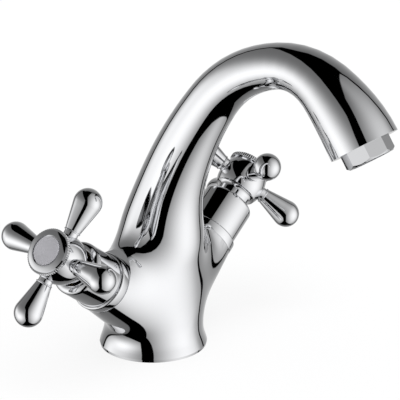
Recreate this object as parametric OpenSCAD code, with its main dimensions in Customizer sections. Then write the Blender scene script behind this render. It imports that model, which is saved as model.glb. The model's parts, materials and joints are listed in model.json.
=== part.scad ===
// Two-handle basin mixer faucet: one cast body with a fixed arched spout and two
// side arms, each arm carrying a quarter-turn ceramic valve under a cross handle.
//
// Millimetres. +Z is up and the deck is the plane z = 0, with the base centred on
// the origin. The spout reaches forward along -Y. The hot arm leans out to -X and
// the cold arm to +X.

/* [Base] */

// Widest diameter of the foot
base_diameter = 53.2; // [46:0.1:62]
// Height at which the foot is widest
base_bulge_height = 1.8; // [1:0.1:5]
// How far the lower edge of the foot tucks in
base_edge_tuck = 0.5; // [0.2:0.1:2]
// Diameter of the column above the foot
waist_diameter = 47.3; // [42:0.1:54]
// Height of the waist
waist_height = 12.5; // [9:0.1:16]

/* [Spout] */

// Height at which the column starts to lean forward
neck_start_height = 20; // [16:0.1:26]
// Centre-line radius of the long neck
neck_bend_radius = 187; // [150:1:230]
// Turn of the long neck
neck_bend_angle = 36.8; // [30:0.1:40]
// Centre-line radius between the neck and the crown
shoulder_bend_radius = 62.6; // [50:0.1:80]
// Turn between the neck and the crown
shoulder_bend_angle = 41.7; // [34:0.1:46]
// Centre-line radius of the crown
crown_bend_radius = 34.4; // [28:0.2:45]
// Turn of the crown
crown_bend_angle = 49.8; // [44:0.1:55]
// Centre-line radius of the falling end
drop_bend_radius = 96; // [75:1:120]
// Turn of the falling end
drop_bend_angle = 17.6; // [14:0.1:26]
// Diameter of the spout where it is thinnest
throat_diameter = 21.4; // [19:0.1:26]
// Place of the thinnest section, as a share of the centre line above the waist
throat_place = 0.74; // [0.6:0.01:0.8]
// How strongly the neck tapers: 1 is a straight taper
neck_taper_power = 1.52; // [1.2:0.02:2]
// How far the column swells above the arms, in radius
column_swell = 2.3; // [0:0.1:3]
// How far that swell also moves the column forward
swell_forward = 1.9; // [0:0.1:2.5]
// Height at which that swell is fullest
swell_height = 57; // [48:0.5:64]
// Diameter of the spout at its open end
outlet_diameter = 32.9; // [30:0.1:38]
// Diameter of the water channel in the spout
channel_diameter = 13; // [9:0.5:14]

/* [Side arms] */

// Rise of each side arm above the horizontal
arm_angle = 36; // [30:0.5:42]
// Height at which the two arm axes meet
arm_cross_height = 15.2; // [12:0.1:20]
// How far the arm axes lie in front of the column's centre
arm_forward = 1.5; // [0:0.1:3]
// Distance from that meeting point to the machined face of each arm
arm_face_distance = 47.6; // [44:0.1:54]
// Diameter of each arm at its face
arm_end_diameter = 28.9; // [27:0.1:31]
// Diameter that each arm would reach where the axes meet
arm_root_diameter = 37.4; // [30:0.1:42]
// Size of the smooth fillet under the arms
under_fillet = 7.5; // [4:0.5:16]
// Size of the smooth fillet between the column and the tops of the arms
saddle_fillet = 20; // [6:0.5:30]

/* [Valves] */

// Diameter of the valve thread in the arm
valve_thread_diameter = 21; // [19:0.1:22]
// Length of the valve thread
valve_thread_length = 6.6; // [5:0.1:9]
// Depth of the valve seat below the arm's face
seat_depth = 19.6; // [18:0.1:21]
// Diameter of the valve's nose, which holds the discs
nose_diameter = 19.2; // [18:0.1:19.6]
// Wall of the valve's nose
nose_wall = 1.1; // [0.8:0.1:1.6]
// Thickness of each ceramic disc
disc_thickness = 3.2; // [2.6:0.1:3.8]
// Diameter of the two water ports in each ceramic disc
disc_port_diameter = 4.4; // [3:0.1:5]
// Thickness of the rubber seat
seat_seal_thickness = 2; // [1.5:0.1:3]
// Diameter of the spindle inside the valve
spindle_diameter = 10.4; // [9:0.1:12]
// Diameter of the spindle's splined end
spline_diameter = 8; // [6:0.1:9]
// Number of grooves in the splined end
spline_count = 20; // [12:1:24]
// Width across the flats of the valve's hexagon
valve_hex_width = 22; // [20:0.5:22]
// Height of the valve's round flange
valve_flange_height = 2; // [1.5:0.1:3]
// Height of the valve's hexagon
valve_hex_height = 2.3; // [2:0.1:3]
// How far the valve's neck ends below the top of the shroud
valve_inset = 5.9; // [5.4:0.1:8]
// Wall of the valve's neck round the spindle
valve_neck_wall = 3.5; // [2.5:0.1:4]
// Height of the spindle's driving flange
driver_height = 1.6; // [1.2:0.1:2]
// Thickness of the washer between that flange and the valve's neck
washer_height = 0.6; // [0.4:0.1:0.8]
// Thickness of the circlip
clip_height = 0.8; // [0.6:0.1:1]
// Width of the tongue that turns the upper disc
tongue_width = 3; // [2:0.1:3.4]
// Length of that tongue
tongue_length = 11; // [8:0.5:13]
// Depth of the slot that takes the tongue
slot_depth = 1.4; // [1:0.1:1.8]
// Cross-section of the rings that seal the spindle and the arm
o_ring_section = 1.8; // [1.5:0.1:2]

/* [Trim] */

// Outside diameter of the ring between the arm and the shroud
ring_diameter = 29; // [28:0.1:31]
// Height of that ring
ring_height = 5.5; // [4.6:0.1:7]
// Outside diameter of the shroud
shroud_diameter = 26.4; // [25:0.1:28]
// Height of the shroud up to its rounded shoulder
shroud_straight = 17.6; // [15:0.1:20]
// Height of that shoulder
shroud_shoulder = 2.6; // [1:0.1:3.4]
// Wall of the shroud
shroud_wall = 1.5; // [1:0.1:2]
// Wall of the ring round the valve's flange
ring_wall = 1.4; // [1:0.1:2]
// Rounding of the ring's two edges
ring_round = 1; // [0.4:0.1:1.6]
// Small chamfer on the shroud's lower edge
trim_chamfer = 0.3; // [0.1:0.1:0.5]

/* [Handles] */

// Gap between the shroud and the rim of the handle's hub
hub_gap = 5.7; // [3:0.1:12]
// Radius of the circle through the centres of the lobe ends
lobe_reach = 28.9; // [24:0.1:34]
// Diameter of each lobe's round end
lobe_end_diameter = 13.8; // [11:0.1:16]
// Diameter of each lobe at its collar
lobe_root_diameter = 7.8; // [6:0.1:9]
// Widest diameter of the handle's hub
hub_diameter = 24.5; // [23:0.1:28]
// How far behind the plane of the lobes the hub is widest
hub_wide_drop = 2; // [0:0.1:4]
// Diameter of the hub's back edge
hub_back_diameter = 21.6; // [20:0.1:22.8]
// Length of the hub behind the plane of the lobes
hub_back_length = 8; // [5:0.1:9]
// Length of the hub in front of the plane of the lobes
hub_front_length = 6.4; // [6:0.1:8]
// Diameter of the hub under the cap
hub_front_diameter = 20.6; // [20:0.1:22]
// Diameter of the sleeve that goes down into the shroud
sleeve_diameter = 17.6; // [15:0.1:18.4]
// Length over which the sleeve flares out to the hub
neck_flare_length = 2.4; // [1:0.1:4]
// Diameter of the stub that holds each lobe in the hub
lobe_stub_diameter = 5.2; // [4:0.1:6]
// Width of the small collar at the root of each lobe
lobe_collar_width = 0.9; // [0.6:0.1:1.4]
// Length of the narrower neck between that collar and the hub
lobe_neck_length = 1; // [0.5:0.1:2]
// How much narrower that neck is, in radius
lobe_neck_step = 0.4; // [0.1:0.1:0.8]
// How deep each lobe's stub goes into the hub
lobe_stub_depth = 4.8; // [3:0.1:5.4]
// Thickness of the web that the handle's screw clamps
web_height = 2.6; // [2:0.1:3]
// How far that web starts behind the plane of the lobes
web_drop = 2; // [1:0.1:3]
// Diameter of the handle's screw
screw_diameter = 4.8; // [4:0.1:5.4]
// Length of the handle's screw in the spindle
screw_grip = 11; // [8:0.5:14]
// Diameter of the screw's head
screw_head_diameter = 9.2; // [8:0.1:10]
// Height of the screw's head
screw_head_height = 2.6; // [2.2:0.1:3]
// Diameter of the cap over its fluted rim
cap_diameter = 22.7; // [21:0.1:24]
// Number of flutes round the cap's rim
cap_flute_count = 64; // [40:2:72]
// Height of the cap's fluted rim
cap_rim_height = 1.9; // [1.4:0.1:3]
// Gap under that rim
cap_rim_gap = 0.5; // [0.3:0.1:1]
// Diameter of the cap's smooth face
face_diameter = 20.6; // [19:0.1:20.8]
// Height of that face's edge above the fluted rim
cap_face_step = 0.6; // [0.2:0.1:1.2]
// Height of that face's domed part
cap_dome_height = 0.8; // [0.4:0.1:1.6]
// Diameter of the plug that holds the cap in the hub
cap_plug_diameter = 18.4; // [17:0.1:18.8]
// Diameter of the plain disc in the cap
index_diameter = 14; // [12:0.1:16]
// Thickness of that disc
index_thickness = 1; // [0.6:0.1:1.4]
// Groove round that disc
index_groove = 0.6; // [0.2:0.1:0.8]
// Turn of the hot cross about its axis
hot_rest_turn = -8; // [-45:1:45]
// Turn of the cold cross about its axis
cold_rest_turn = 53; // [0:1:90]

/* [Outlet insert] */

// Diameter of the outlet thread
outlet_thread_diameter = 24; // [22:0.1:26]
// Depth of the outlet thread
outlet_thread_depth = 12; // [10:0.5:15]
// Height of the visible collar below the spout
collar_height = 7.2; // [5:0.1:9]
// Width across the collar's eight flats
collar_width = 22; // [20:0.1:23]
// Turn of the collar's flats about its axis
collar_turn = 8; // [0:1:45]
// Wall of the insert's housing inside the thread
housing_wall = 2; // [1.4:0.1:2.6]
// Width and height of the lip that holds the screen
lip_size = 1; // [0.6:0.1:1.6]
// Thickness of the sealing washer above the housing
seal_height = 1.8; // [1.2:0.1:2.4]
// Wall of the cartridge in the housing
insert_wall = 1.2; // [0.8:0.1:1.6]
// Thickness of the screen
screen_height = 0.8; // [0.5:0.1:1.2]
// Diameter of the screen's holes
screen_hole_diameter = 1.4; // [1:0.1:1.6]
// Distance between the screen's holes
screen_pitch = 2.1; // [2:0.1:3]

/* [Underside] */

// Diameter of each hose inlet, bored for an M10 x 1 thread
inlet_diameter = 9; // [8:0.1:10]
// Depth of each hose inlet
inlet_depth = 14; // [10:0.5:16]
// Distance between the two hose inlets
inlet_spacing = 19; // [16:0.5:22]
// How far the inlets lie behind the centre
inlet_back = 5; // [3:0.5:8]
// Diameter of the fixing stud's hole, bored for an M8 thread
stud_diameter = 6.8; // [6:0.1:8]
// Depth of the stud's hole
stud_depth = 16; // [12:0.5:20]
// How far the stud lies in front of the centre
stud_forward = 13; // [11:0.5:15]
// Width of the foot's rim outside the gasket
gasket_rim = 3.1; // [2:0.1:5]
// Width of the gasket
gasket_width = 3; // [2:0.1:4]
// Height of the gasket
gasket_height = 2; // [1.5:0.1:3]

/* [Clearances] */

// Radial gap between a turning shaft and its bore
running_gap = 0.05; // [0.02:0.01:0.1]
// Gap between faces that turn against each other
face_gap = 0.1; // [0.05:0.01:0.3]
// Radial gap between parts that are screwed or pushed together
fit_gap = 0.1; // [0.02:0.01:0.2]

/* [Hidden] */

$fn = 72;

chrome = [0.82, 0.83, 0.86];
brass = [0.80, 0.66, 0.33];
ceramic = [0.93, 0.92, 0.88];
rubber = [0.10, 0.10, 0.11];
plastic = [0.86, 0.86, 0.84];
steel = [0.62, 0.63, 0.66];
satin = [0.66, 0.67, 0.70];

// A cut passes this far beyond the face that it opens
overcut = 1;

// ---- Spout centre line: [forward place y, height z, lean angle] ----

spout_bends = [
    [neck_bend_radius, neck_bend_angle],
    [shoulder_bend_radius, shoulder_bend_angle],
    [crown_bend_radius, crown_bend_angle],
    [drop_bend_radius, drop_bend_angle]
];
bend_count = len(spout_bends);

function bend_point(start, radius, turn) =
    [start[0] - radius * cos(start[2]) + radius * cos(start[2] + turn),
     start[1] - radius * sin(start[2]) + radius * sin(start[2] + turn),
     start[2] + turn];
function bend_start(i) =
    i == 0 ? [0, neck_start_height, 0]
           : bend_point(bend_start(i - 1), spout_bends[i - 1][0], spout_bends[i - 1][1]);
function bend_length(i) = spout_bends[i][0] * spout_bends[i][1] * PI / 180;
function length_before(i) =
    i == 0 ? neck_start_height - waist_height : length_before(i - 1) + bend_length(i - 1);

spout_length = length_before(bend_count);
spout_end = bend_start(bend_count);
throat_station = throat_place * spout_length;

// ---- Outer radius of the column and spout at a distance along the centre line ----

base_radius = base_diameter / 2;
waist_radius = waist_diameter / 2;
throat_radius = throat_diameter / 2;
outlet_radius = outlet_diameter / 2;
foot_top = waist_height + base_bulge_height;

function smooth(t) = t * t * (3 - 2 * t);
function unit_share(t) = max(0, min(1, t));
function neck_radius(s) =
    throat_radius + (waist_radius - throat_radius)
        * pow(max(0, 1 - s / throat_station), neck_taper_power);
function flare_radius(s) =
    (outlet_radius - throat_radius)
        * smooth(unit_share((s - throat_station) / (spout_length - throat_station)));
foot_flare = base_radius - neck_radius(base_bulge_height - waist_height);
function foot_radius(z) =
    foot_flare * pow(unit_share((foot_top - z) / (foot_top - base_bulge_height)), 2)
    - base_edge_tuck * pow(unit_share((base_bulge_height - z) / base_bulge_height), 2);
swell_spread = 17;
function swell_share(z) = exp(-pow((z - swell_height) / swell_spread, 2));
function outer_radius(s) =
    neck_radius(s) + flare_radius(s) + foot_radius(s + waist_height)
    + column_swell * swell_share(s + waist_height);

// ---- Places along an arm, measured from where the arm axes meet ----

arm_radius = arm_end_diameter / 2;
arm_growth = (arm_root_diameter / 2 - arm_radius) / arm_face_distance;
seat_floor = arm_face_distance - seat_depth;
nose_radius = nose_diameter / 2;
nose_bore = nose_radius - nose_wall;
disc_radius = nose_bore - fit_gap;
disc_foot = seat_floor + seat_seal_thickness;
disc_split = disc_foot + disc_thickness;
disc_top = disc_split + face_gap + disc_thickness;
thread_radius = valve_thread_diameter / 2;
thread_foot = arm_face_distance - valve_thread_length;
driver_foot = thread_foot - 4 * face_gap;
cavity_top = driver_foot + driver_height + washer_height + 3 * face_gap;
ring_radius = ring_diameter / 2;
valve_flange_radius = ring_radius - ring_wall - fit_gap;
hex_foot = arm_face_distance + valve_flange_height;
hex_top = hex_foot + valve_hex_height;
ring_top = arm_face_distance + ring_height;
shroud_radius = shroud_diameter / 2;
shoulder_foot = ring_top + shroud_straight;
shroud_top = shoulder_foot + shroud_shoulder;
shroud_bore = shroud_radius - shroud_wall;
valve_top = shroud_top - valve_inset;
clip_foot = valve_top + 3 * face_gap;
clip_top = clip_foot + clip_height;
sleeve_radius = sleeve_diameter / 2;
sleeve_foot = clip_top + 2 * clip_height;
spindle_radius = spindle_diameter / 2;
spline_radius = spline_diameter / 2;
spline_foot = sleeve_foot - clip_height;

// ---- Places on a handle, on the same axis ----

lobe_plane_distance = shroud_top + hub_gap + hub_back_length;
lobe_end_radius = lobe_end_diameter / 2;
lobe_root_radius = lobe_root_diameter / 2;
lobe_stub_radius = lobe_stub_diameter / 2;
hub_radius = hub_diameter / 2;
hub_back = lobe_plane_distance - hub_back_length;
hub_front = lobe_plane_distance + hub_front_length;
hub_front_radius = hub_front_diameter / 2;
web_foot = lobe_plane_distance - web_drop;
web_top = web_foot + web_height;
spindle_top = web_foot - 4 * face_gap;
screw_radius = screw_diameter / 2;
screw_foot = spindle_top - screw_grip;
screw_head_radius = screw_head_diameter / 2;
screw_head_top = web_top + screw_head_height;
screw_pocket_radius = screw_head_radius + 6 * fit_gap;
cap_plug_radius = cap_plug_diameter / 2;
cap_plug_foot = screw_head_top + 6 * face_gap;
cap_radius = cap_diameter / 2;
cap_rim_foot = hub_front + cap_rim_gap;
cap_rim_top = cap_rim_foot + cap_rim_height;
cap_edge = 0.2;
dome_power = 1.3;
face_radius = face_diameter / 2;
dome_foot = cap_rim_top + cap_face_step;
cap_face = dome_foot + cap_dome_height;
index_radius = index_diameter / 2;
index_face = cap_face + face_gap;
lobe_collar_reach = hub_radius + lobe_neck_length;

// ---- Frames ----

// Puts its children on an arm's axis: side -1 is hot, +1 is cold
module on_arm(side)
    translate([0, -arm_forward, arm_cross_height])
        rotate([0, side * (90 - arm_angle), 0])
            children();

// Puts its children on a handle, turned to where that handle rests
module on_handle(side)
    on_arm(side)
        rotate([0, 0, side < 0 ? hot_rest_turn : cold_rest_turn])
            children();

// Puts its children on the outlet's axis, with +Z out of the spout
module on_outlet()
    translate([0, spout_end[0], spout_end[1]])
        rotate([spout_end[2], 0, 0])
            children();

// ---- Building blocks ----

// A solid of revolution from [radius, height] points
module turned(points)
    rotate_extrude()
        polygon(points);

// A flat ring between two radii and two heights
module ring(inner, outer, foot, top)
    turned([[inner, foot], [outer, foot], [outer, top], [inner, top]]);

// A plain hole along Z
module bore(radius, foot, top)
    translate([0, 0, foot])
        cylinder(r = radius, h = top - foot);

// A ring of round section
module o_ring(centre_radius, height)
    translate([0, 0, height])
        rotate_extrude()
            translate([centre_radius, 0])
                circle(d = o_ring_section - fit_gap, $fn = 24);

// A round hole between two points
module passage(from, to, radius) {
    way = to - from;
    reach = norm(way);
    translate(from)
        rotate([0, acos(way[2] / reach), atan2(way[1], way[0])])
            cylinder(r = radius, h = reach);
}

function arm_point(side, reach) =
    [side * reach * cos(arm_angle), -arm_forward, arm_cross_height + reach * sin(arm_angle)];

// ---- Body surface ----

// Size of the fillet at a height: small under the arms and larger above them
fillet_change_foot = waist_height;
fillet_change_height = 36;
function fillet_size(z) =
    under_fillet + (saddle_fillet - under_fillet)
        * smooth(unit_share((z - fillet_change_foot) / fillet_change_height));

// Blends two distances so that the surfaces meet in a fillet
function blend(a, b, size) =
    let(h = max(size - abs(a - b), 0) / size)
    min(a, b) - h * h * size / 4;

// Signed distance to the column, straight below and bent above
function column_distance(p) =
    let(forward = p[1] + swell_forward * swell_share(p[2]))
    p[2] < neck_start_height
        ? norm([p[0], forward]) - outer_radius(p[2] - waist_height)
        : let(y = forward + neck_bend_radius, z = p[2] - neck_start_height,
              station = length_before(0) + neck_bend_radius * atan2(z, y) * PI / 180)
          norm([p[0], norm([y, z]) - neck_bend_radius]) - outer_radius(station);

// Signed distance to one arm, which runs on past its face and is cut back later
arm_overrun = 8;
arm_trim_margin = 4;
function arm_distance(p, side) =
    let(q = p - [0, -arm_forward, arm_cross_height],
        along = side * q[0] * cos(arm_angle) + q[2] * sin(arm_angle),
        foot = max(along, 0) * [side * cos(arm_angle), 0, sin(arm_angle)])
    max(norm(q - foot) - arm_radius - arm_growth * (arm_face_distance - max(along, 0)),
        along - arm_face_distance - arm_overrun);

function body_distance(p) =
    let(size = fillet_size(p[2]))
    blend(blend(column_distance(p), arm_distance(p, 1), size), arm_distance(p, -1), size);

// Distance from the core to the surface along a direction, by halving
function surface_reach(core, way, low, high, steps) =
    steps == 0
        ? (low + high) / 2
        : let(middle = (low + high) / 2)
          body_distance(core + way * middle) < 0
              ? surface_reach(core, way, middle, high, steps - 1)
              : surface_reach(core, way, low, middle, steps - 1);

// Point on the spout's skin: [lean centre], outer radius and angle round the tube
function skin_point(centre, radius, angle) =
    let(height = centre[1] + radius * sin(angle) * sin(centre[2]))
    [radius * cos(angle),
     centre[0] + radius * sin(angle) * cos(centre[2]) - swell_forward * swell_share(height),
     height];

// Centre line at a distance above the waist
function centre_at(s, i = 0) =
    i == bend_count - 1 || s <= length_before(i + 1)
        ? bend_point(bend_start(i), spout_bends[i][0],
                     (s - length_before(i)) / spout_bends[i][0] * 180 / PI)
        : centre_at(s, i + 1);

// One closed skin from the foot to the outlet. Below the neck ring its points lie
// on rays from a core inside the column; above it they lie on rings round the tube.
module body_skin() {
    sides = 60;
    low_rings = 42;
    high_rings = 32;
    crowding = 13;
    core_rise = 3;
    core_reach = waist_radius / 4;
    skin_reach = arm_face_distance + arm_overrun + arm_end_diameter;
    halvings = 13;
    core = [0, -arm_forward / 2, arm_cross_height + core_rise];
    neck_station = 0.5 * neck_bend_angle / 180 * PI * neck_bend_radius;
    neck = centre_at(neck_station);
    // sides crowd together where the arms are
    angles = [for (j = [0 : sides - 1])
        let(u = 360 * j / sides) u - crowding * sin(2 * u)];
    top_points = [for (a = angles) skin_point(neck, outer_radius(neck_station), a)];
    foot_ring_radius = outer_radius(-waist_height);
    // horizontal way from the core towards each side, and how far the foot lies along it
    flats = [for (p = top_points)
        let(flat = [p[0] - core[0], p[1] - core[1]]) flat / norm(flat)];
    foot_reaches = [for (flat = flats)
        let(back = core[1] * flat[1])
        sqrt(back * back - core[1] * core[1] + foot_ring_radius * foot_ring_radius) - back];
    low_skin = [for (i = [0 : low_rings - 1], j = [0 : sides - 1])
        let(low = -atan2(core[2], foot_reaches[j]),
            high = atan2(top_points[j][2] - core[2],
                         norm([top_points[j][0] - core[0], top_points[j][1] - core[1]])),
            e = low + (high - low) * i / low_rings,
            way = [flats[j][0] * cos(e), flats[j][1] * cos(e), sin(e)],
            p = core + way * surface_reach(core, way, core_reach, skin_reach, halvings))
        i == 0 ? [foot_reaches[j] * flats[j][0], core[1] + foot_reaches[j] * flats[j][1], 0] : p];
    high_skin = [for (i = [0 : high_rings], j = [0 : sides - 1])
        let(s = neck_station + (spout_length - neck_station) * i / high_rings)
        skin_point(centre_at(s), outer_radius(s), angles[j])];
    rings = low_rings + high_rings + 1;
    polyhedron(
        points = concat(low_skin, high_skin),
        faces = concat(
            [[for (j = [0 : sides - 1]) j]],
            [for (i = [0 : rings - 2], j = [0 : sides - 1])
                let(k = (j + 1) % sides) [i * sides + j, (i + 1) * sides + j, (i + 1) * sides + k]],
            [for (i = [0 : rings - 2], j = [0 : sides - 1])
                let(k = (j + 1) % sides)
                [i * sides + j, (i + 1) * sides + k, i * sides + k]],
            [[for (j = [sides - 1 : -1 : 0]) (rings - 1) * sides + j]]));
}

// ---- Body ----

inlet_radius = inlet_diameter / 2;
stud_radius = stud_diameter / 2;
face_ring_wall = 0.8;
face_ring_radius = thread_radius + face_ring_wall + o_ring_section / 2;
chamber_foot = disc_split;
chamber_radius = thread_radius + fit_gap;
outlet_bore = outlet_thread_diameter / 2 + fit_gap;
channel_turn = 8;
channel_start = bend_point(bend_start(0), neck_bend_radius, channel_turn);
feed_radius = 3.5;
mix_radius = 3.5;
mix_reach = thread_foot + 1;
channel_step = 0.3;
channel_lap = 0.2;
inlet_lap = 2;
gasket_outer = base_radius - gasket_rim;
gasket_inner = gasket_outer - gasket_width;

// Water channel along one bend of the spout; every second bend is a little narrower,
// so that neighbouring lengths meet at a clean step
module channel_bend(i, from_turn) {
    start = bend_start(i);
    radius = spout_bends[i][0];
    translate([0, start[0] - radius * cos(start[2]), start[1] - radius * sin(start[2])])
        rotate([90, 0, 90])
            rotate([0, 0, start[2] + from_turn - channel_lap])
                rotate_extrude(angle = spout_bends[i][1] - from_turn + 2 * channel_lap)
                    translate([radius, 0])
                        circle(d = channel_diameter - channel_step * (i % 2));
}

// Everything that one valve needs cut into the body
module valve_cuts(side) {
    on_arm(side) {
        bore(arm_radius + arm_trim_margin, arm_face_distance,
             arm_face_distance + arm_overrun + arm_trim_margin);
        bore(nose_radius + fit_gap, seat_floor, chamber_foot + overcut);
        bore(chamber_radius, chamber_foot, arm_face_distance + overcut);
        ring(face_ring_radius - o_ring_section / 2 - fit_gap,
             face_ring_radius + o_ring_section / 2 + fit_gap,
             arm_face_distance - o_ring_section, arm_face_distance + overcut);
    }
    translate([side * inlet_spacing / 2, inlet_back, 0])
        bore(inlet_radius, -overcut, inlet_depth);
    passage([side * inlet_spacing / 2, inlet_back, inlet_depth - inlet_lap],
            arm_point(side, seat_floor + feed_radius / 2), feed_radius);
    passage(arm_point(side, mix_reach), [0, channel_start[0], channel_start[1]], mix_radius);
}

module body() color(chrome)
    difference() {
        body_skin();
        for (side = [-1, 1])
            valve_cuts(side);
        translate([0, channel_start[0], channel_start[1]])
            sphere(d = channel_diameter);
        for (i = [0 : bend_count - 1])
            channel_bend(i, i == 0 ? channel_turn : 0);
        on_outlet()
            bore(outlet_bore, -outlet_thread_depth, overcut);
        translate([0, -stud_forward, 0])
            bore(stud_radius, -overcut, stud_depth);
        ring(gasket_inner - fit_gap, gasket_outer + fit_gap,
             -overcut, gasket_height + fit_gap);
    }

module base_gasket() color(rubber)
    ring(gasket_inner, gasket_outer, 0, gasket_height);

// ---- Outlet insert ----

outlet_thread_radius = outlet_thread_diameter / 2;
housing_foot = seal_height - outlet_thread_depth;
housing_bore = outlet_thread_radius - housing_wall;
lip_bore = housing_bore - lip_size;
collar_chamfer = 0.6;
insert_radius = housing_bore - fit_gap;
insert_bore = insert_radius - insert_wall;
screen_foot = collar_height - lip_size - screen_height;
insert_gap = 0.6;
insert_foot = housing_foot + insert_gap;
insert_cup_depth = 3;
insert_floor_height = 3;
insert_hole_radius = insert_bore / 11;
screen_hole_radius = screen_hole_diameter / 2;

module aerator_housing() color(chrome)
    on_outlet()
        difference() {
            union() {
                bore(outlet_thread_radius, housing_foot, 0);
                intersection() {
                    rotate([0, 0, collar_turn])
                        cylinder(d = collar_width / cos(22.5), h = collar_height, $fn = 8);
                    turned([[0, -overcut], [collar_width, -overcut],
                            [collar_width / 2 + collar_height, 0],
                            [collar_width / 2 - collar_chamfer / 2, collar_height],
                            [0, collar_height]]);
                }
            }
            bore(housing_bore, housing_foot - overcut, collar_height - lip_size);
            bore(lip_bore, housing_foot - overcut, collar_height + overcut);
        }

module aerator_seal() color(rubber)
    on_outlet()
        ring(lip_bore, outlet_thread_radius, -outlet_thread_depth,
             housing_foot);

// Cartridge that mixes air in: a cup with a ring of holes in its floor
module aerator_insert() color(plastic)
    on_outlet()
        difference() {
            bore(insert_radius, insert_foot, screen_foot);
            bore(insert_bore, insert_foot - overcut, insert_foot + insert_cup_depth);
            bore(insert_bore, insert_foot + insert_cup_depth + insert_floor_height,
                 screen_foot + overcut);
            for (turn = [0 : 30 : 330], row = [0, 1])
                rotate([0, 0, turn + 15 * row])
                    translate([insert_bore * (0.4 + 0.35 * row), 0, 0])
                        bore(insert_hole_radius, insert_foot, screen_foot);
        }

module aerator_screen() color(steel)
    on_outlet()
        difference() {
            bore(insert_radius, screen_foot, screen_foot + screen_height);
            for (i = [-4 : 4], j = [-4 : 4])
                if (norm([i + j / 2, j * sqrt(3) / 2]) * screen_pitch
                        < lip_bore - screen_hole_radius)
                    translate([(i + j / 2) * screen_pitch, j * sqrt(3) / 2 * screen_pitch, 0])
                        bore(screen_hole_radius, screen_foot - overcut, collar_height);
        }

// ---- Valve ----

port_offset = disc_radius / 2;
port_radius = disc_port_diameter / 2;
seat_seal_width = 3;
stem_wall = 1.6;
stem_radius = tongue_width / 2 + stem_wall;
stem_gap = 0.5;
nose_gap = 0.5;
shroud_seat_height = 6;
neck_tube_radius = spindle_radius + running_gap + valve_neck_wall;
window_margin = 0.3;
window_radius = (driver_foot - disc_top) / 2 - window_margin;
groove_depth = o_ring_section - fit_gap / 2;
spindle_ring_inset = 1.5;
spindle_ring_pitch = 5;
spindle_ring_places = [arm_face_distance + spindle_ring_inset,
                       arm_face_distance + spindle_ring_inset + spindle_ring_pitch];
clip_depth = 0.8;
clip_reach = 1.7;
clip_mouth = 4;
spline_groove_radius = 0.3;
spline_shoulder = 1.5;
hex_socket_width = 4;
hex_socket_depth = 1.6;

module seat_seal() color(rubber)
    ring(disc_radius - seat_seal_width, disc_radius, seat_floor, disc_foot);

module ceramic_disc(foot, turn)
    difference() {
        bore(disc_radius, foot, foot + disc_thickness);
        for (half = [0, 180])
            rotate([0, 0, turn + half])
                translate([port_offset, 0, 0])
                    bore(port_radius, foot - overcut, foot + disc_thickness + overcut);
    }

module fixed_disc() color(ceramic)
    ceramic_disc(disc_foot, 0);

// The moving disc's ports stand across the fixed disc's, so the valve rests closed
module moving_disc() color(ceramic)
    difference() {
        ceramic_disc(disc_split + face_gap, 90);
        translate([-tongue_length / 2 - fit_gap, -tongue_width / 2 - fit_gap,
                   disc_top - slot_depth])
            cube([tongue_length + 2 * fit_gap, tongue_width + 2 * fit_gap,
                  slot_depth + overcut]);
    }

module valve_body() color(brass)
    difference() {
        union() {
            bore(nose_radius, seat_floor + nose_gap, thread_foot);
            bore(thread_radius, thread_foot, arm_face_distance);
            bore(valve_flange_radius, arm_face_distance, hex_foot);
            translate([0, 0, hex_foot])
                cylinder(d = valve_hex_width / cos(30), h = valve_hex_height, $fn = 6);
            bore(shroud_bore - fit_gap, hex_top, hex_top + shroud_seat_height);
            bore(neck_tube_radius, hex_top, valve_top);
        }
        bore(nose_bore, seat_floor, cavity_top);
        bore(spindle_radius + running_gap, cavity_top - overcut, valve_top + overcut);
        for (turn = [0, 90])
            translate([0, 0, (disc_top + driver_foot) / 2])
                rotate([90, 0, turn])
                    cylinder(r = window_radius, h = 3 * nose_radius, center = true);
    }

module face_ring() color(rubber)
    o_ring(face_ring_radius, arm_face_distance - o_ring_section / 2);

module spindle() color(brass)
    difference() {
        union() {
            translate([-tongue_length / 2, -tongue_width / 2,
                       disc_top - slot_depth + face_gap])
                cube([tongue_length, tongue_width, slot_depth + overcut]);
            bore(stem_radius, disc_top + stem_gap, driver_foot);
            bore(nose_bore - 7 * fit_gap, driver_foot, driver_foot + driver_height);
            bore(spindle_radius, driver_foot, spline_foot);
            bore(spline_radius, spline_foot, spindle_top);
        }
        for (place = spindle_ring_places)
            ring(spindle_radius - groove_depth, spindle_radius + overcut,
                 place - o_ring_section / 2, place + o_ring_section / 2);
        ring(spindle_radius - clip_depth, spindle_radius + overcut,
             clip_foot, clip_top + fit_gap);
        for (i = [0 : spline_count - 1])
            rotate([0, 0, 360 * i / spline_count])
                translate([spline_radius, 0, 0])
                    bore(spline_groove_radius, spline_foot + spline_shoulder, spindle_top + overcut);
        bore(screw_radius + fit_gap, screw_foot - overcut, spindle_top + overcut);
    }

module thrust_washer() color(plastic)
    ring(spindle_radius + 2 * fit_gap, nose_bore - fit_gap, cavity_top - washer_height,
         cavity_top);

module spindle_rings() color(rubber)
    for (place = spindle_ring_places)
        o_ring(spindle_radius - (o_ring_section - fit_gap) / 2, place);

module circlip() color(steel)
    difference() {
        ring(spindle_radius - clip_depth, spindle_radius + clip_reach, clip_foot, clip_top);
        translate([0, -clip_mouth / 2, clip_foot - overcut])
            cube([spindle_diameter, clip_mouth, clip_height + 2 * overcut]);
    }

// ---- Trim ----

ring_lip_foot = hex_top + fit_gap;
ring_lip_bore = shroud_bore + 4 * fit_gap;
shroud_ceiling = shoulder_foot - shroud_wall;
mouth_gap = 0.8;
shroud_mouth = sleeve_radius + mouth_gap;
mouth_lip = 0.3;

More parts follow.
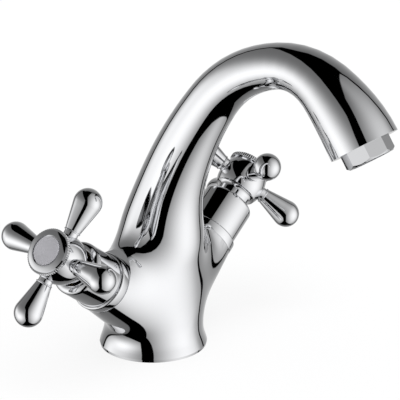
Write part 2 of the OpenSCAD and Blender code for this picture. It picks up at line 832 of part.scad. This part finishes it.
module trim_ring() color(chrome)
    turned(concat(
        [[valve_flange_radius + fit_gap, arm_face_distance]],
        [for (t = [-90 : 15 : 0])
            [ring_radius - ring_round + ring_round * cos(t),
             arm_face_distance + ring_round + ring_round * sin(t)]],
        [for (t = [0 : 15 : 90])
            [ring_radius - ring_round + ring_round * cos(t),
             ring_top - ring_round + ring_round * sin(t)]],
        [[ring_lip_bore, ring_top], [ring_lip_bore, ring_lip_foot],
         [valve_flange_radius + fit_gap, ring_lip_foot]]));

module shroud() color(chrome)
    turned(concat(
        [[shroud_bore, ring_top], [shroud_radius - trim_chamfer, ring_top],
         [shroud_radius, ring_top + trim_chamfer]],
        [for (t = [0 : 10 : 90])
            [shroud_mouth + mouth_lip + (shroud_radius - shroud_mouth - mouth_lip) * cos(t),
             shoulder_foot + shroud_shoulder * sin(t)]],
        [[shroud_mouth, shroud_top], [shroud_mouth, shroud_ceiling],
         [shroud_bore, shroud_ceiling]]));

// ---- Handle ----

socket_depth = 0.9;
socket_radius = lobe_root_radius - lobe_neck_step;
lobe_stub_foot = hub_radius - lobe_stub_depth;

// The hub's side is part of a ball: it narrows to one radius at the back and to
// another at the front
hub_wide = lobe_plane_distance - hub_wide_drop;
hub_back_radius = hub_back_diameter / 2;
function ball_half(end_radius, length) = length / sqrt(1 - pow(end_radius / hub_radius, 2));
function ball_radius(z) =
    let(half = z < hub_wide ? ball_half(hub_back_radius, hub_wide - hub_back)
                            : ball_half(hub_front_radius, hub_front - hub_wide))
    hub_radius * sqrt(1 - pow((z - hub_wide) / half, 2));

// Outline of the hub: sleeve, flared neck and ball
hub_outline = concat(
    [[0, sleeve_foot], [sleeve_radius, sleeve_foot]],
    [for (t = [0 : 15 : 90])
        [sleeve_radius + (hub_back_radius - sleeve_radius) * (1 - cos(t)),
         hub_back - neck_flare_length + neck_flare_length * sin(t)]],
    [for (k = [1 : 16])
        let(z = hub_back + (hub_front - hub_back) * k / 16)
        [ball_radius(z), z]],
    [[0, hub_front]]);

module hub() color(chrome)
    difference() {
        turned(hub_outline);
        bore(spline_radius + fit_gap, sleeve_foot - overcut, web_foot);
        bore(screw_radius + 5 * fit_gap, web_foot - overcut, hub_front);
        bore(screw_pocket_radius, web_top, hub_front);
        bore(cap_plug_radius + fit_gap, cap_plug_foot, hub_front + overcut);
        for (turn = [0 : 90 : 270])
            translate([0, 0, lobe_plane_distance])
                rotate([0, 90, turn]) {
                    bore(lobe_stub_radius + fit_gap, lobe_stub_foot - fit_gap, hub_radius);
                    bore(socket_radius + fit_gap, hub_radius - socket_depth,
                         hub_radius + overcut);
                }
    }

// Outline of one lobe along its own axis: stub, socket, collar, cone and round end
collar_rise = 0.2;
cone_foot = lobe_collar_reach + lobe_collar_width;
cone_slope = asin((lobe_end_radius - lobe_root_radius) / (lobe_reach - cone_foot));
lobe_outline = concat(
    [[0, lobe_stub_foot], [lobe_stub_radius, lobe_stub_foot],
     [lobe_stub_radius, hub_radius - socket_depth],
     [socket_radius, hub_radius - socket_depth],
     [socket_radius, lobe_collar_reach]],
    [for (t = [-75 : 25 : 75])
        [lobe_root_radius - lobe_collar_width / 2 + collar_rise + lobe_collar_width / 2 * cos(t),
         lobe_collar_reach + lobe_collar_width / 2 * (1 + sin(t))]],
    [[lobe_root_radius, cone_foot]],
    [for (k = [0 : 12])
        let(t = -cone_slope + (90 + cone_slope) * k / 12)
        [lobe_end_radius * cos(t), lobe_reach + lobe_end_radius * sin(t)]]);

module lobes() color(chrome)
    for (turn = [0 : 90 : 270])
        translate([0, 0, lobe_plane_distance])
            rotate([0, 90, turn])
                turned(lobe_outline);

module handle_screw() color(steel)
    difference() {
        union() {
            bore(screw_radius, screw_foot, web_top + overcut);
            bore(screw_head_radius, web_top, screw_head_top);
        }
        translate([0, 0, screw_head_top - hex_socket_depth])
            cylinder(d = hex_socket_width / cos(30), h = hex_socket_depth + overcut, $fn = 6);
    }

flute_radius = 0.38;
flute_offset = 0.1;
cap_shelf_step = 0.3;
cap_shelf_radius = hub_front_radius - cap_shelf_step;
cap_pocket_depth = 2;
recess_radius = index_radius + index_groove;
recess_floor = index_face - index_thickness;

module cap() color(chrome)
    difference() {
        turned(concat(
            [[0, cap_plug_foot + fit_gap], [cap_plug_radius, cap_plug_foot + fit_gap],
             [cap_plug_radius, hub_front], [cap_shelf_radius, hub_front],
             [cap_shelf_radius, cap_rim_foot], [cap_radius - cap_edge, cap_rim_foot],
             [cap_radius, cap_rim_foot + cap_edge], [cap_radius, cap_rim_top - cap_edge],
             [cap_radius - cap_edge, cap_rim_top], [face_radius, cap_rim_top]],
            [for (u = [1 : -0.125 : 0])
                [recess_radius + (face_radius - recess_radius) * u,
                 dome_foot + cap_dome_height * (1 - pow(u, dome_power))]],
            [[recess_radius, recess_floor], [0, recess_floor]]));
        for (i = [0 : cap_flute_count - 1])
            rotate([0, 0, 360 * i / cap_flute_count])
                translate([cap_radius + flute_offset, 0, 0])
                    bore(flute_radius, cap_rim_foot - cap_edge, cap_rim_top + cap_edge,
                         $fn = 16);
        bore(screw_pocket_radius, cap_plug_foot, cap_plug_foot + cap_pocket_depth);
    }

module index_disc() color(satin)
    turned([[0, recess_floor], [index_radius, recess_floor],
            [index_radius, index_face - cap_edge], [index_radius - cap_edge, index_face],
            [0, index_face]]);

// ---- Nodes ----

module hot_seat_seal() on_arm(-1) seat_seal();
module cold_seat_seal() on_arm(1) seat_seal();
module hot_fixed_disc() on_arm(-1) fixed_disc();
module cold_fixed_disc() on_arm(1) fixed_disc();
module hot_moving_disc() on_arm(-1) moving_disc();
module cold_moving_disc() on_arm(1) moving_disc();
module hot_valve_body() on_arm(-1) valve_body();
module cold_valve_body() on_arm(1) valve_body();
module hot_face_ring() on_arm(-1) face_ring();
module cold_face_ring() on_arm(1) face_ring();
module hot_spindle() on_arm(-1) spindle();
module cold_spindle() on_arm(1) spindle();
module hot_thrust_washer() on_arm(-1) thrust_washer();
module cold_thrust_washer() on_arm(1) thrust_washer();
module hot_spindle_rings() on_arm(-1) spindle_rings();
module cold_spindle_rings() on_arm(1) spindle_rings();
module hot_circlip() on_arm(-1) circlip();
module cold_circlip() on_arm(1) circlip();
module hot_trim_ring() on_arm(-1) trim_ring();
module cold_trim_ring() on_arm(1) trim_ring();
module hot_shroud() on_arm(-1) shroud();
module cold_shroud() on_arm(1) shroud();
module hot_hub() on_handle(-1) hub();
module cold_hub() on_handle(1) hub();
module hot_lobes() on_handle(-1) lobes();
module cold_lobes() on_handle(1) lobes();
module hot_handle_screw() on_handle(-1) handle_screw();
module cold_handle_screw() on_handle(1) handle_screw();
module hot_cap() on_handle(-1) cap();
module cold_cap() on_handle(1) cap();
module hot_index_disc() on_handle(-1) index_disc();
module cold_index_disc() on_handle(1) index_disc();

body();
base_gasket();
aerator_housing();
aerator_seal();
aerator_insert();
aerator_screen();
hot_seat_seal();
cold_seat_seal();
hot_fixed_disc();
cold_fixed_disc();
hot_moving_disc();
cold_moving_disc();
hot_valve_body();
cold_valve_body();
hot_face_ring();
cold_face_ring();
hot_spindle();
cold_spindle();
hot_thrust_washer();
cold_thrust_washer();
hot_spindle_rings();
cold_spindle_rings();
hot_circlip();
cold_circlip();
hot_trim_ring();
cold_trim_ring();
hot_shroud();
cold_shroud();
hot_hub();
cold_hub();
hot_lobes();
cold_lobes();
hot_handle_screw();
cold_handle_screw();
hot_cap();
cold_cap();
hot_index_disc();
cold_index_disc();
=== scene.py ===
"""Looks for the two-handle basin mixer: polished chrome in a white studio with dark gaps.

The chrome shows what surrounds it, so most of the look is the room: three tall lit walls
with dark gaps between them, a dark ceiling and a dark well below. Sizes are in metres, and
the room's directions are in degrees.
"""

import json
import math

import bpy
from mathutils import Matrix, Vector

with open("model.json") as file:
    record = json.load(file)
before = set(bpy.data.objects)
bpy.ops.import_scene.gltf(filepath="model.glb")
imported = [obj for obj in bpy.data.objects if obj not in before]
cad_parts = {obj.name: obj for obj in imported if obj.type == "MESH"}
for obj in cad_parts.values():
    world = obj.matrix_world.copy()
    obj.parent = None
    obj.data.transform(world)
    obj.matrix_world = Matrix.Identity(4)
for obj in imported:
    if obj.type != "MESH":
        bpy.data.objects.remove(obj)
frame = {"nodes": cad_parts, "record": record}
bpy.context.view_layer.update()
NODES = frame["nodes"]

# ---- Node helpers ----


def node(tree, kind, inputs=None, **settings):
    """Adds a shader or geometry node, with its settings and its inputs' values or links."""
    made = tree.nodes.new(kind)
    for name, value in settings.items():
        setattr(made, name, value)
    for name, value in (inputs or {}).items():
        if isinstance(value, bpy.types.NodeSocket):
            tree.links.new(value, made.inputs[name])
        else:
            made.inputs[name].default_value = value
    return made


def math_node(tree, operation, *values):
    """One Math node, whose inputs are numbers or sockets."""
    return node(tree, "ShaderNodeMath", dict(enumerate(values)), operation=operation).outputs[0]


def ease(tree, value, start, end):
    """0 below start and 1 above end, with a smooth step between."""
    ramp = node(tree, "ShaderNodeMapRange", {"Value": value, "From Min": start, "From Max": end},
                interpolation_type="SMOOTHSTEP")
    return ramp.outputs["Result"]


# ---- Camera ----

# The lens and the sensor are in millimetres.
VIEW_AZIMUTH = math.radians(-51.64)
VIEW_ELEVATION = math.radians(19.8)
VIEW_DISTANCE = 1.0921
VIEW_TARGET = Vector((0, -0.0295, 0.08105))
VIEW_LENS = 206.3
VIEW_SENSOR = 36
VIEW_NEAR = 0.05
VIEW_FAR = 20


def add_camera():
    data = bpy.data.cameras.new("camera")
    data.sensor_width = VIEW_SENSOR
    data.lens = VIEW_LENS
    data.clip_start = VIEW_NEAR
    data.clip_end = VIEW_FAR
    camera = bpy.data.objects.new("camera", data)
    bpy.context.scene.collection.objects.link(camera)
    level = math.cos(VIEW_ELEVATION)
    back = Vector((math.sin(VIEW_AZIMUTH) * level, -math.cos(VIEW_AZIMUTH) * level,
                   math.sin(VIEW_ELEVATION)))
    camera.location = VIEW_TARGET + back * VIEW_DISTANCE
    camera.rotation_euler = back.to_track_quat("Z", "Y").to_euler()
    bpy.context.scene.camera = camera


# ---- The room ----

# Each wall faces the tap from one azimuth and spans "half" so many degrees to each side.
# "rise" and "fall" are the tangents of its top and bottom edges at its middle.
# "lean" slants its left and right edges, in degrees of azimuth per degree of elevation.
# "plain" is its plain brightness. Each patch adds to it, or takes from it, and fades
# outwards: azimuth, elevation, width, height and brightness.
WALLS = [
    {"facing": -77, "half": 63, "lean": (0, 0), "rise": 4.0, "fall": 3.0, "plain": 0.04,
     "patches": [(-72, -10, 60, 68, 1.08), (-22, 2, 13, 24, -0.26)]},
    {"facing": 25.5, "half": 35.5, "lean": (0, 0.6), "rise": 1.7, "fall": 6.5, "plain": 0.08,
     "patches": [(28, -11, 58, 54, 0.32), (38, -17, 24, 20, 0.3)]},
    {"facing": 131, "half": 65, "lean": (0.6, 0), "rise": 1.8, "fall": 2.2, "plain": 0.144,
     "patches": [(145, -18, 48, 33, 1.05), (110, 3, 18, 13, 0.4)]},
]
# The slant runs down from the first elevation to the second.
LEAN_START = 40
LEAN_END = -5
EDGE_SOFTNESS = 1.5
HALF_TURN = 180
WHITE = (1, 1, 1, 1)
FLOOR_COLOUR = (0.94, 0.94, 0.95, 1)
FLOOR_REACH = 12
FLOOR_GLOW_SHARE = 0.85
OVERHEAD_STRENGTH = 3.0
OVERHEAD_WIDTH = math.radians(70)
OVERHEAD_LEAN = (math.radians(12), math.radians(-16), 0)


def turn_from(tree, azimuth, start):
    """Degrees from one azimuth to another, between a half turn back and a half turn on."""
    return math_node(tree, "WRAP", math_node(tree, "SUBTRACT", azimuth, start),
                     HALF_TURN, -HALF_TURN)


def level_edge(tree, around, slope):
    """Elevation of a wall's straight level edge, as seen from the tap."""
    across = math_node(tree, "COSINE", math_node(tree, "RADIANS", around))
    return math_node(tree, "DEGREES", math_node(tree, "ARCTANGENT",
                                                math_node(tree, "MULTIPLY", across, slope)))


def side_edge(tree, drop, lean, start):
    """Degrees from a wall's middle to its side edge, which slants as it drops."""
    return math_node(tree, "ADD", math_node(tree, "MULTIPLY", drop, lean), start)


def patch_light(tree, azimuth, elevation, patch):
    """Brightness that one soft round patch adds to a wall."""
    patch_azimuth, patch_elevation, width, height, brightness = patch
    wide = math_node(tree, "DIVIDE", turn_from(tree, azimuth, patch_azimuth), width)
    high = math_node(tree, "DIVIDE", math_node(tree, "SUBTRACT", elevation, patch_elevation),
                     height)
    away = math_node(tree, "ADD", math_node(tree, "MULTIPLY", wide, wide),
                     math_node(tree, "MULTIPLY", high, high))
    fade = math_node(tree, "EXPONENT", math_node(tree, "MULTIPLY", away, -1))
    return math_node(tree, "MULTIPLY", fade, brightness)


def wall_light(tree, azimuth, elevation, wall):
    """Brightness that one wall sends from each direction of the world."""
    around = turn_from(tree, azimuth, wall["facing"])
    drop = math_node(tree, "SUBTRACT", LEAN_START,
                     math_node(tree, "MAXIMUM", LEAN_END,
                               math_node(tree, "MINIMUM", LEAN_START, elevation)))
    left_lean, right_lean = wall["lean"]
    left = side_edge(tree, drop, left_lean, -wall["half"])
    right = side_edge(tree, drop, right_lean, wall["half"])
    top = level_edge(tree, around, wall["rise"])
    bottom = level_edge(tree, around, wall["fall"])
    inside = [math_node(tree, "SUBTRACT", around, left),
              math_node(tree, "SUBTRACT", right, around),
              math_node(tree, "SUBTRACT", top, elevation),
              math_node(tree, "ADD", bottom, elevation)]
    light = wall["plain"]
    for patch in wall["patches"]:
        light = math_node(tree, "ADD", light, patch_light(tree, azimuth, elevation, patch))
    for distance in inside:
        light = math_node(tree, "MULTIPLY", light, ease(tree, distance, 0, EDGE_SOFTNESS))
    return light


def background_rays(tree):
    """1 for rays that show the white background: the camera's and those through glass."""
    path = node(tree, "ShaderNodeLightPath").outputs
    return math_node(tree, "MAXIMUM", path["Is Camera Ray"], path["Is Transmission Ray"])


def light_room():
    """The walls light the tap and show in its chrome. The camera sees plain white there."""
    world = bpy.data.worlds.new("studio")
    world.use_nodes = True
    tree = world.node_tree
    tree.nodes.clear()
    way = node(tree, "ShaderNodeSeparateXYZ",
               {0: node(tree, "ShaderNodeTexCoord").outputs["Generated"]}).outputs
    azimuth = math_node(tree, "DEGREES", math_node(tree, "ARCTAN2", way["Y"], way["X"]))
    elevation = math_node(tree, "DEGREES", math_node(tree, "ARCSINE", way["Z"]))
    light = 0
    for wall in WALLS:
        light = math_node(tree, "ADD", light, wall_light(tree, azimuth, elevation, wall))
    shown = math_node(tree, "MAXIMUM", light, background_rays(tree))
    glow = node(tree, "ShaderNodeBackground", {"Color": WHITE, "Strength": shown})
    node(tree, "ShaderNodeOutputWorld", {"Surface": glow.outputs[0]})
    bpy.context.scene.world = world


def add_floor():
    """A pale floor. It shows white to the camera apart from the tap's soft shadow.

    It is hidden from the chrome, which shows the walls' feet and the dark well instead.
    """
    corners = [(-FLOOR_REACH, -FLOOR_REACH, 0), (FLOOR_REACH, -FLOOR_REACH, 0),
               (FLOOR_REACH, FLOOR_REACH, 0), (-FLOOR_REACH, FLOOR_REACH, 0)]
    mesh = bpy.data.meshes.new("floor")
    mesh.from_pydata(corners, [], [(0, 1, 2, 3)])
    floor = bpy.data.objects.new("floor", mesh)
    bpy.context.scene.collection.objects.link(floor)
    material = bpy.data.materials.new("floor")
    material.use_nodes = True
    tree = material.node_tree
    tree.nodes.clear()
    matte = node(tree, "ShaderNodeBsdfDiffuse", {"Color": FLOOR_COLOUR}).outputs[0]
    white = node(tree, "ShaderNodeEmission", {"Color": WHITE, "Strength": 1.0}).outputs[0]
    share = math_node(tree, "MULTIPLY", background_rays(tree), FLOOR_GLOW_SHARE)
    mixed = node(tree, "ShaderNodeMixShader", {0: share, 1: matte, 2: white}).outputs[0]
    node(tree, "ShaderNodeOutputMaterial", {"Surface": mixed})
    mesh.materials.append(material)
    floor.visible_glossy = False


def add_overhead_light():
    """A wide soft light from above, for the shadow. The chrome doesn't show it."""
    data = bpy.data.lights.new("overhead", "SUN")
    data.energy = OVERHEAD_STRENGTH
    data.angle = OVERHEAD_WIDTH
    light = bpy.data.objects.new("overhead", data)
    bpy.context.scene.collection.objects.link(light)
    light.rotation_euler = OVERHEAD_LEAN
    light.visible_glossy = False


# ---- Materials ----

# Each finish has its colour, how metallic and how rough it is, the number of grains in a
# metre, and how deep they are as a share of GRAIN_HEIGHT.
FINISHES = {
    "chrome": {"colour": (0.86, 0.865, 0.88), "metallic": 1, "roughness": 0.035,
               "grain": 240, "depth": 0.01},
    "brass": {"colour": (0.78, 0.60, 0.26), "metallic": 1, "roughness": 0.28,
              "grain": 900, "depth": 0.15},
    "ceramic": {"colour": (0.86, 0.85, 0.80), "metallic": 0, "roughness": 0.22,
                "grain": 1500, "depth": 0.05},
    "rubber": {"colour": (0.022, 0.022, 0.024), "metallic": 0, "roughness": 0.62,
               "grain": 1800, "depth": 0.25, "colour_spread": 0.15},
    "plastic": {"colour": (0.78, 0.78, 0.76), "metallic": 0, "roughness": 0.38,
                "grain": 1400, "depth": 0.12},
    "steel": {"colour": (0.55, 0.56, 0.58), "metallic": 1, "roughness": 0.30,
              "grain": 1200, "depth": 0.15},
    "satin": {"colour": (0.605, 0.6, 0.635), "metallic": 0.6, "roughness": 0.45,
              "grain": 1600, "depth": 0.05},
}
GRAIN_HEIGHT = 0.0002
GRAIN_DETAIL = 4.0
GRAINS_PER_BLOTCH = 12
BLOTCH_DETAIL = 3.0
BLOTCH_LOW = 0.3
BLOTCH_HIGH = 0.7
ROUGHNESS_SPREAD = 0.3


def make_material(name, colour, metallic, roughness, grain, depth, colour_spread=0.04):
    """A finish with fine procedural variation of its colour, roughness and surface."""
    material = bpy.data.materials.new(name)
    material.use_nodes = True
    tree = material.node_tree
    tree.nodes.clear()
    place = node(tree, "ShaderNodeTexCoord").outputs["Object"]
    blotches = node(tree, "ShaderNodeTexNoise",
                    {"Vector": place, "Scale": grain / GRAINS_PER_BLOTCH,
                     "Detail": BLOTCH_DETAIL}).outputs["Fac"]
    grains = node(tree, "ShaderNodeTexNoise",
                  {"Vector": place, "Scale": grain, "Detail": GRAIN_DETAIL}).outputs["Fac"]
    dark = [c * (1 - colour_spread) for c in colour] + [1]
    light = [min(1, c * (1 + colour_spread)) for c in colour] + [1]
    tint = node(tree, "ShaderNodeMix", {"Factor": blotches, "A": dark, "B": light},
                data_type="RGBA")
    rough = node(tree, "ShaderNodeMapRange",
                 {"Value": blotches, "From Min": BLOTCH_LOW, "From Max": BLOTCH_HIGH,
                  "To Min": roughness * (1 - ROUGHNESS_SPREAD),
                  "To Max": roughness * (1 + ROUGHNESS_SPREAD)}).outputs["Result"]
    bump = node(tree, "ShaderNodeBump",
                {"Height": grains, "Strength": depth, "Distance": GRAIN_HEIGHT})
    shader = node(tree, "ShaderNodeBsdfPrincipled",
                  {"Base Color": tint.outputs[2], "Metallic": metallic, "Roughness": rough,
                   "Normal": bump.outputs[0]})
    node(tree, "ShaderNodeOutputMaterial", {"Surface": shader.outputs[0]})
    return material


def dress_nodes():
    """Gives each CAD node its finish, from its material slot in the record."""
    materials = {slot: make_material(slot + "_finish", **finish)
                 for slot, finish in FINISHES.items()}
    for part in frame["record"]["subparts"]:
        mesh = NODES[part["node"]].data
        mesh.materials.clear()
        mesh.materials.append(materials[part["material_slot"]])


# ---- Smooth shading ----

SHARP_EDGE = math.radians(28)
WELD_DISTANCE = 0.000004


def smoothing_group():
    """Joins the mesh's seams, then shades it smooth apart from its true edges."""
    tree = bpy.data.node_groups.new("smooth_faces", "GeometryNodeTree")
    tree.interface.new_socket("Geometry", in_out="INPUT", socket_type="NodeSocketGeometry")
    tree.interface.new_socket("Geometry", in_out="OUTPUT", socket_type="NodeSocketGeometry")
    start = node(tree, "NodeGroupInput").outputs[0]
    plain = node(tree, "GeometryNodeRemoveAttribute",
                 {"Geometry": start, "Name": "custom_normal"}).outputs[0]
    welded = node(tree, "GeometryNodeMergeByDistance",
                  {"Geometry": plain, "Distance": WELD_DISTANCE}).outputs[0]
    faces = node(tree, "GeometryNodeSetShadeSmooth",
                 {"Geometry": welded, "Shade Smooth": True}, domain="FACE").outputs[0]
    angle = node(tree, "GeometryNodeInputMeshEdgeAngle").outputs[0]
    soft = node(tree, "FunctionNodeCompare", {0: angle, 1: SHARP_EDGE},
                data_type="FLOAT", operation="LESS_THAN").outputs[0]
    edges = node(tree, "GeometryNodeSetShadeSmooth",
                 {"Geometry": faces, "Shade Smooth": soft}, domain="EDGE").outputs[0]
    node(tree, "NodeGroupOutput", {0: edges})
    return tree


def smooth_nodes():
    group = smoothing_group()
    for obj in NODES.values():
        modifier = obj.modifiers.new("smooth_faces", "NODES")
        modifier.node_group = group


# ---- Scene ----

add_camera()
light_room()
add_floor()
add_overhead_light()
dress_nodes()
smooth_nodes()
bpy.context.scene.view_settings.view_transform = "Standard"

bpy.context.view_layer.update()
